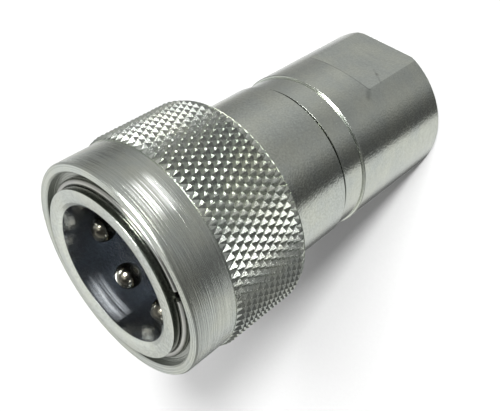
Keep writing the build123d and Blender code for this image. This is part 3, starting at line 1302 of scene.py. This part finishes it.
@dataclass
class LockingBalls:
    """Eight polished balls, each on its own body."""

    circle_radius: float = 12.27
    ball_radius: float = 2.38
    subdivisions: int = 5
    socket: SocketBody = field(default_factory=SocketBody)

    def build(self, shop: Workshop) -> None:
        """Builds and dresses the balls.

        Args:
            shop: Where the pieces are made.
        """
        for number, direction in enumerate(self.socket.directions(), start=1):
            ball = bmesh.new()
            placed = Matrix.Translation((
                self.circle_radius * math.cos(direction) * MM,
                self.circle_radius * math.sin(direction) * MM,
                self.socket.ball_height * MM,
            ))
            bmesh.ops.create_icosphere(
                ball, subdivisions=self.subdivisions, radius=self.ball_radius * MM, matrix=placed
            )
            shop.finish(
                f"locking_ball_{number}", ball, POLISHED, Slot.BALL, f"locking_ball_{number}",
                (f"ball_{number}",),
            )


@dataclass
class Coil:
    """A plain-ended wire coil between a fixed and a moving face."""

    name: str
    node: str
    joint: str
    coil_radius: float
    wire_radius: float
    bottom: float
    top: float
    travel: float
    turns: float = 4.5
    end_gap: float = 0.03
    sides: int = 20
    steps_per_turn: int = 72

    def build(self, shop: Workshop) -> None:
        """Winds the coil and gives the piece a mesh of its own.

        Args:
            shop: Where the piece is made.
        """
        start = self.bottom + self.end_gap + self.wire_radius
        rise = self.top - self.end_gap - self.wire_radius - start
        coil = shop.ring(
            self.coil_radius, self.wire_radius, start, sides=self.sides,
            turn=self.turns * FULL_TURN, rise=rise, steps=round(self.turns * self.steps_per_turn),
        )
        piece = shop.finish(
            self.name, coil, COIL_WIRE, Slot.WIRE, Body.COUPLER.value, (self.node,),
            ROUND_SHARP_DEGREES,
        )
        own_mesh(piece)


@dataclass
class Seals:
    """O-rings and the flat back-up ring."""

    probe_ring: Triple = (12.68, 1.2, 43.62)
    joint_ring: Triple = (12.23, 0.72, 35.38)
    poppet_ring: Triple = (8.3, 0.9, 37.685)
    sides: int = 32
    backup_inner: float = 12.0
    backup_outer: float = 13.88
    backup_bottom: float = 44.88
    backup_top: float = 45.88

    def build(self, shop: Workshop) -> None:
        """Builds and dresses the seals.

        Args:
            shop: Where the pieces are made.
        """
        rings = (
            ("probe_seal", self.probe_ring, Body.COUPLER, "probe_oring"),
            ("joint_seal", self.joint_ring, Body.COUPLER, "body_oring"),
            ("valve_seal", self.poppet_ring, Body.POPPET, "poppet_seal"),
        )
        for name, sizes, body, node in rings:
            ring = shop.ring(*sizes, sides=self.sides)
            shop.finish(name, ring, RUBBER, Slot.RUBBER, body.value, (node,), ROUND_SHARP_DEGREES)
        backup = shop.turn([
            (self.backup_inner, self.backup_bottom), (self.backup_outer, self.backup_bottom),
            (self.backup_outer, self.backup_top), (self.backup_inner, self.backup_top),
        ])
        shop.finish(
            "seal_backup", backup, PLASTIC, Slot.PLASTIC, Body.COUPLER.value,
            ("probe_backup_ring",),
        )


@dataclass
class Poppet:
    """Valve poppet: rounded tip, lip over the seal, flange, spring boss and stem."""

    rounding: float = 0.1
    outline: tuple[Span, ...] = (
        (0.0, 41.7), (2.7, 41.7), (3.2, 41.2), (3.2, 40.0), (7.0, 40.088), (7.93, 39.155),
        (8.48, 38.605), (7.38, 38.605), (7.38, 36.765), (9.0, 36.765), (9.0, 35.315),
        (5.0, 35.315), (5.0, 33.815), (2.5, 33.815), (2.5, 20.4), (2.1, 20.0), (0.0, 20.0),
    )

    def build(self, shop: Workshop) -> None:
        """Builds and dresses the poppet.

        Args:
            shop: Where the piece is made.
        """
        mesh = shop.turn(list(self.outline), closed=False, rounding=self.rounding)
        shop.finish(
            "valve_poppet_turned", mesh, TURNED, Slot.TURNED, Body.POPPET.value, ("poppet",)
        )


@dataclass
class ValveGuide:
    """Spider with three spokes and a long hub."""

    bottom: float = 20.5
    thickness: float = 2.3
    rim_radius: float = 10.52
    hub_radius: float = 4.6
    hub_length: float = 5.3
    hub_bore: float = 2.58
    window_inner: float = 5.5
    window_outer: float = 9.3
    window_steps: int = 40
    overcut: float = 1.0
    spokes: int = 3
    spoke_width: float = 2.6
    spoke_taper: float = 1.28

    def window_cutter(self, shop: Workshop, number: int) -> Shape:
        """Makes the cutter of one window, between two spokes.

        Args:
            shop: Where the cutter is swept.
            number: Which window it is, from 0.

        Returns:
            The cutter.
        """
        pitch = FULL_TURN / self.spokes
        spread = pitch - self.spoke_width / self.window_outer * self.spoke_taper
        low, high = self.bottom - self.overcut, self.bottom + self.thickness + self.overcut
        section = [
            (self.window_inner, low), (self.window_outer, low),
            (self.window_outer, high), (self.window_inner, high),
        ]
        cutter = shop.sweep(section, spread, self.window_steps)
        start = Matrix.Rotation((number + 0.5) * pitch - spread / 2, 3, "Z")
        bmesh.ops.rotate(cutter, cent=(0, 0, 0), matrix=start, verts=cutter.verts)
        return cutter

    def build(self, shop: Workshop) -> None:
        """Builds and dresses the guide.

        Args:
            shop: Where the piece is made.
        """
        top = self.bottom + self.thickness
        blank = shop.turn([
            (self.hub_bore, self.bottom), (self.rim_radius, self.bottom), (self.rim_radius, top),
            (self.hub_radius, top), (self.hub_radius, self.bottom + self.hub_length),
            (self.hub_bore, self.bottom + self.hub_length),
        ])
        cutters = [self.window_cutter(shop, number) for number in range(self.spokes)]
        shop.finish(
            "valve_guide_turned", shop.carve(blank, cutters), TURNED, Slot.TURNED,
            Body.COUPLER.value, ("valve_guide",),
        )


@dataclass
class PhotoCamera:
    """The camera at the photograph's place, turned as it was held."""

    location: Triple = (0.07988360, -0.05848192, 0.10491423)
    right: Triple = (0.06260929, -0.72125963, -0.68982941)
    up: Triple = (0.72476168, 0.5080458, -0.46541377)
    forward: Triple = (-0.6861491, 0.4708227, -0.55454973)
    lens: float = 49.83
    sensor: float = 36.0
    nearest: float = 0.005
    farthest: float = 20.0

    def build(self) -> None:
        """Makes the camera the scene's own."""
        data = bpy.data.cameras.new("photo_camera")
        data.lens = self.lens
        data.sensor_width = self.sensor
        data.clip_start = self.nearest
        data.clip_end = self.farthest
        camera = bpy.data.objects.new("photo_camera", data)
        axes = Matrix((self.right, self.up, [-part for part in self.forward])).transposed()
        camera.matrix_world = Matrix.Translation(self.location) @ axes.to_4x4()
        bpy.context.scene.collection.objects.link(camera)
        bpy.context.scene.camera = camera


@dataclass(frozen=True)
class Glow:
    """A bright patch of the surroundings, by direction and height in degrees."""

    sides: Span
    heights: Span
    strength: float
    soft: float = 5.0

    def light(self, side: Signal, height: Signal) -> Signal:
        """The patch's own light.

        Args:
            side: Direction in degrees.
            height: Sine of the height.

        Returns:
            Its brightness in that direction.
        """
        low, high = self.sides
        patch = side.within(low + self.soft, high - self.soft, 2 * self.soft)
        low, high = (sine(angle) for angle in self.heights)
        edge = sine(self.soft / 2)
        return patch * height.within(low + edge, high - edge, 2 * edge) * self.strength


@dataclass
class Studio:
    """Plain pale floor, soft main light and the surroundings that the metal mirrors.

    Directions of the surroundings are angles from +X towards -Y, in degrees.
    """

    floor_size: float = 6.0
    floor_squares: int = 8
    floor_drop: float = 0.00002
    floor_shade: float = 0.358
    floor_grain: float = 900.0
    floor_grain_detail: float = 3.0
    floor_grain_share: float = 0.02
    floor_roughness: float = 0.9
    floor_gloss: float = 0.1
    light_direction: float = 18.0
    light_height: float = 19.5
    light_spread: float = 9.0
    light_strength: float = 14.0
    backdrop: float = 0.97
    straight_down: float = 0.26
    below_from: Span = (-66.0, -52.0)
    level_from: Span = (-20.0, -8.0)
    above_from: Span = (14.0, 26.0)
    below: tuple[Span, ...] = (
        (-180, 0.12), (-170, 0.12), (-160, 0.36), (-140, 0.9), (-116, 0.9), (-104, 0.46),
        (-94, 0.36), (-76, 0.35), (-56, 0.44), (-36, 0.57), (-14, 0.53), (6, 0.39), (24, 0.36),
        (44, 0.41), (54, 0.33), (64, 0.19), (74, 0.11), (90, 0.085), (97, 0.1), (101, 0.85),
        (130, 0.85), (158, 0.85), (168, 0.66), (180, 0.12),
    )
    level: tuple[Span, ...] = (
        (-180, 0.34), (-150, 0.42), (-138, 0.58), (-112, 0.6), (-98, 0.42), (-60, 0.33), (-30, 0.4),
        (-14, 0.48), (34, 0.34), (50, 0.13), (95, 0.1), (110, 0.2), (150, 0.32), (180, 0.34),
    )
    above: tuple[Span, ...] = (
        (-180, 1.05), (-120, 1.05), (-80, 0.6), (-44, 0.4), (-26, 0.55), (30, 0.55), (54, 0.16),
        (100, 0.14), (140, 0.7), (180, 1.05),
    )
    drifts: tuple[Triple, ...] = ((-37.0, -26.0, 12.0), (-42.0, -52.0, 8.0))
    glows: tuple[Glow, ...] = (
        Glow((-13.0, 27.0), (-4.0, 14.0), 1.15), Glow((-26.0, 46.0), (46.0, 62.0), 2.0),
        Glow((-8.0, 18.0), (20.0, 42.0), 38.0), Glow((-118.0, -66.0), (-33.0, -22.0), -0.28),
    )

    def floor(self) -> None:
        """Lays the floor, which the metal doesn't mirror."""
        mesh = bmesh.new()
        bmesh.ops.create_grid(
            mesh, x_segments=self.floor_squares, y_segments=self.floor_squares,
            size=self.floor_size / 2, matrix=Matrix.Translation((0, 0, -self.floor_drop)),
        )
        floor = set_down("studio_floor", mesh)
        material, shader = blank_material("pale_paper")
        grain = shader.cloud(shader.place(), self.floor_grain, self.floor_grain_detail)
        shader.surface({
            "Base Color": shader.grey(self.floor_shade + grain.swing(self.floor_grain_share)),
            "Roughness": self.floor_roughness,
            "Specular IOR Level": self.floor_gloss,
        })
        floor.data.materials.append(material)
        floor.visible_glossy = False
        floor.visible_shadow = False

    def main_light(self) -> None:
        """Hangs the soft light whose shadow falls along the body."""
        data = bpy.data.lights.new("main_light", "SUN")
        data.energy = self.light_strength
        data.angle = math.radians(self.light_spread)
        light = bpy.data.objects.new("main_light", data)
        side = math.radians(self.light_direction)
        height = math.radians(self.light_height)
        towards = Vector((
            math.cos(side) * math.cos(height), -math.sin(side) * math.cos(height), math.sin(height)
        ))
        light.rotation_euler = towards.to_track_quat("Z", "Y").to_euler()
        light.visible_glossy = False
        bpy.context.scene.collection.objects.link(light)

    def surroundings(self) -> None:
        """Paints the room: what the camera sees is plain, what the metal mirrors is graded."""
        world = bpy.data.worlds.new("studio")
        world.use_nodes = True
        bpy.context.scene.world = world
        shader = Shader(world.node_tree)
        x, y, z = shader.split(shader.node("ShaderNodeTexCoord", output="Generated"))
        side = bearing(x, y)
        height = z.most(-1.0).least(1.0)
        drifted = side
        for start, end, turn in self.drifts:
            change = (0.0, turn) if end > start else (turn, 0.0)
            low, high = sorted((sine(start), sine(end)))
            drifted = drifted - height.rise(low, high, *change)
        light: Signal | float = self.straight_down
        for sides, stops, (low, high) in (
            (drifted, self.below, self.below_from),
            (side, self.level, self.level_from),
            (side, self.above, self.above_from),
        ):
            layer = self._ramp(shader, sides, stops)
            lift = height.rise(sine(low), sine(high))
            light = light * (1 - lift) + layer * lift
        for glow in self.glows:
            light = light + glow.light(side, height)
        seen = shader.node("ShaderNodeLightPath", output="Is Camera Ray")
        light = light * (1 - seen) + seen * self.backdrop
        inputs = {"Color": shader.grey(light), "Strength": 1.0}
        background = shader.node("ShaderNodeBackground", None, inputs)
        shader.node("ShaderNodeOutputWorld", None, {"Surface": background})

    @staticmethod
    def _ramp(shader: Shader, side: Signal, stops: tuple[Span, ...]) -> Signal:
        """Grey level by direction in degrees."""
        placed = [(angle / 360 + 0.5, value) for angle, value in stops]
        return shader.node("ShaderNodeValToRGB", {"stops": placed}, {0: side / 360 + 0.5})

    def build(self) -> None:
        """Sets up the floor, the light and the room."""
        bpy.context.scene.view_settings.view_transform = "Standard"
        self.floor()
        self.main_light()
        self.surroundings()


def corners(box: tuple[Vector, Vector]) -> list[list[float]]:
    """A box as plain lists of numbers."""
    return [list(box[0]), list(box[1])]


def main() -> None:
    """Builds the coupler piece by piece."""
    logging.basicConfig(level=logging.INFO, format="%(message)s")
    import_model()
    PhotoCamera().build()
    shop = Workshop()
    AdaptorBody().build(shop)
    SocketBody().build(shop)
    LockingSleeve().build(shop)
    StopRing().build(shop)
    LockingBalls().build(shop)
    Coil(
        "sleeve_coil", "sleeve_spring", "sleeve_slide", coil_radius=15.37, wire_radius=0.55,
        bottom=46.1, top=56.676, travel=2.6,
    ).build(shop)
    Coil(
        "poppet_coil", "poppet_spring", "poppet_slide", coil_radius=5.9, wire_radius=0.65,
        bottom=22.8, top=35.315, travel=5.0,
    ).build(shop)
    Seals().build(shop)
    Poppet().build(shop)
    ValveGuide().build(shop)
    Studio().build()


if __name__ == "__main__":
    main()
